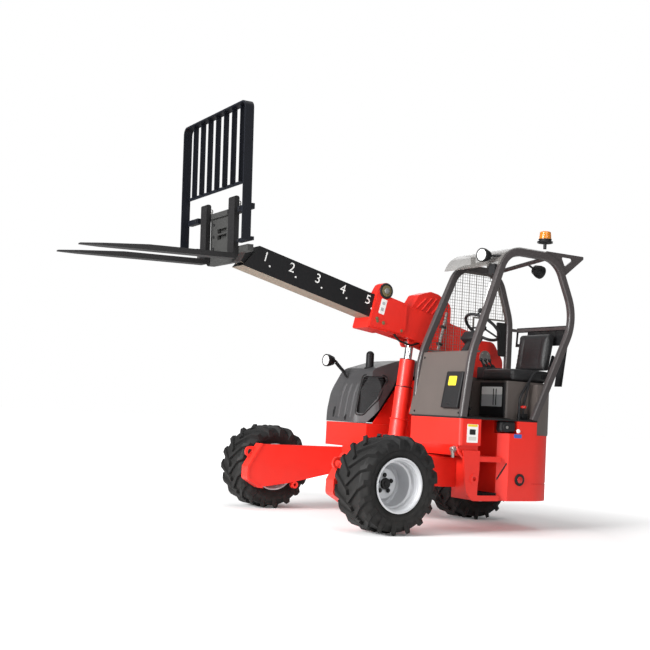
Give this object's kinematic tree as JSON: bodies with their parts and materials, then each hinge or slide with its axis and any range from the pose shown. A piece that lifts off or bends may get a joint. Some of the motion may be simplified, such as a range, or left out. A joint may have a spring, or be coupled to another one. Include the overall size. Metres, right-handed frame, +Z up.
{
  "type": "truck-mounted forklift",
  "caption": "Three-wheel truck-mounted forklift with a telescopic boom, fork carriage, straddle arms, an open guarded driving position and an engine hood.",
  "frame": {"origin": "centre of the bounding box at ground level", "axes": "+X towards the fork tips, +Y to the driver's side, +Z up"},
  "size_m": [4.3384, 2.352, 3.2724],
  "materials": {
    "red_paint": "glossy",
    "dark_steel": "satin",
    "carriage_grey": "satin",
    "black_paint": "satin",
    "blue_black_paint": "satin",
    "taupe_paint": "glossy",
    "dark_grey_paint": "glossy",
    "wire_steel": "satin",
    "roof_glazing": "glossy",
    "black_plastic": "satin",
    "vinyl": "satin",
    "amber_plastic": "glossy",
    "red_plastic": "glossy",
    "chrome": "polished",
    "tyre_rubber": "matte",
    "silver_paint": "satin"
  },
  "bodies": {
    "chassis": {"main_frame": "red_paint", "boom_pivot_pin": "dark_steel", "straddle_arm_left": "red_paint", "straddle_arm_right": "red_paint", "step_frame": "red_paint", "counterweight_left": "red_paint", "body_right": "red_paint", "engine_block": "red_paint", "cab_floor": "dark_steel", "cab_front": "taupe_paint", "guard_frame": "taupe_paint", "guard_mesh": "wire_steel", "roof_sheet": "roof_glazing", "seat_base": "taupe_paint", "control_panel": "black_plastic", "seat_frame": "black_plastic", "seat_cushion": "vinyl", "seat_back": "vinyl", "side_panel": "taupe_paint", "side_pad": "black_plastic", "rear_panel": "taupe_paint", "rear_cover": "taupe_paint", "steering_column": "black_plastic", "steering_wheel": "black_plastic", "control_levers": "black_plastic", "grab_rail": "taupe_paint", "document_box": "red_paint", "beacon_base": "black_plastic", "beacon": "amber_plastic", "work_lamps": "black_plastic", "tank_cap": "black_plastic", "tail_lamps": "red_plastic"},
    "hood": {"hood_shell": "dark_grey_paint", "hood_grille": "black_plastic", "hood_stack": "black_paint", "hood_lamp": "black_plastic"},
    "wheel_front_left": {"tyre_front_left": "tyre_rubber", "rim_front_left": "silver_paint"},
    "wheel_front_right": {"tyre_front_right": "tyre_rubber", "rim_front_right": "silver_paint"},
    "steering": {"rear_yoke": "red_paint"},
    "wheel_rear": {"tyre_rear": "tyre_rubber", "rim_rear": "silver_paint"},
    "boom": {"boom_outer": "red_paint", "boom_cover": "black_paint"},
    "boom_extension": {"boom_inner": "black_paint"},
    "fork_carriage": {"carriage": "carriage_grey", "forks": "black_paint", "backrest": "blue_black_paint"},
    "cylinder_barrel": {"lift_barrel": "red_paint"},
    "cylinder_stage_low": {"lift_stage_low": "red_paint"},
    "cylinder_stage_top": {"lift_stage_top": "red_paint"},
    "cylinder_rod": {"lift_rod": "chrome"}
  },
  "joints": [
    {"name": "boom_lift", "type": "hinge", "parent": "chassis", "child": "boom", "pos_m": [-1.75607, 0, 1.49], "axis": [0, -1, 0], "range_deg": [-44, 18]},
    {"name": "boom_telescope", "type": "slide", "parent": "boom", "child": "boom_extension", "axis": [0.9724, 0, 0.2334], "range_m": [-0.9, 0]},
    {"name": "carriage_tilt", "type": "hinge", "parent": "boom_extension", "child": "fork_carriage", "pos_m": [0.80893, 0, 2.155], "axis": [0, 1, 0], "range_deg": [-50, 30]},
    {"name": "barrel_swing", "type": "hinge", "parent": "chassis", "child": "cylinder_barrel", "pos_m": [-0.90107, 0, 0.345], "axis": [0, -1, 0], "range_deg": [-6, 14]},
    {"name": "stage_low_slide", "type": "slide", "parent": "cylinder_barrel", "child": "cylinder_stage_low", "axis": [-0.1089, 0, 0.994], "range_m": [-0.2792, 0.1154]},
    {"name": "stage_top_slide", "type": "slide", "parent": "cylinder_stage_low", "child": "cylinder_stage_top", "axis": [-0.1089, 0, 0.994], "range_m": [-0.237, 0.0981]},
    {"name": "rod_slide", "type": "slide", "parent": "cylinder_stage_top", "child": "cylinder_rod", "axis": [-0.1089, 0, 0.994], "range_m": [-0.0398, 0.0175]},
    {"name": "hood_hinge", "type": "hinge", "parent": "chassis", "child": "hood", "pos_m": [-1.87907, -0.68, 0.84], "axis": [0, -1, 0], "range_deg": [0, 55]},
    {"name": "rear_steering", "type": "hinge", "parent": "chassis", "child": "steering", "pos_m": [-1.78907, 0, 0.38], "axis": [0, 0, 1], "range_deg": [-70, 70]},
    {"name": "wheel_rear_spin", "type": "hinge", "parent": "steering", "child": "wheel_rear", "pos_m": [-1.78907, 0, 0.38], "axis": [0, 1, 0], "continuous": true},
    {"name": "wheel_front_left_spin", "type": "hinge", "parent": "chassis", "child": "wheel_front_left", "pos_m": [-0.15607, 0.983, 0.38], "axis": [0, 1, 0], "continuous": true},
    {"name": "wheel_front_right_spin", "type": "hinge", "parent": "chassis", "child": "wheel_front_right", "pos_m": [-0.15607, -0.983, 0.38], "axis": [0, 1, 0], "continuous": true}
  ],
  "couplings": [
    {"joint": "barrel_swing", "follows": "boom_lift", "ratio": -0.25},
    {"joint": "stage_low_slide", "follows": "boom_lift", "m_per_rad": 0.36096},
    {"joint": "stage_top_slide", "follows": "boom_lift", "m_per_rad": 0.30596},
    {"joint": "rod_slide", "follows": "boom_lift", "m_per_rad": 0.049274}
  ]
}
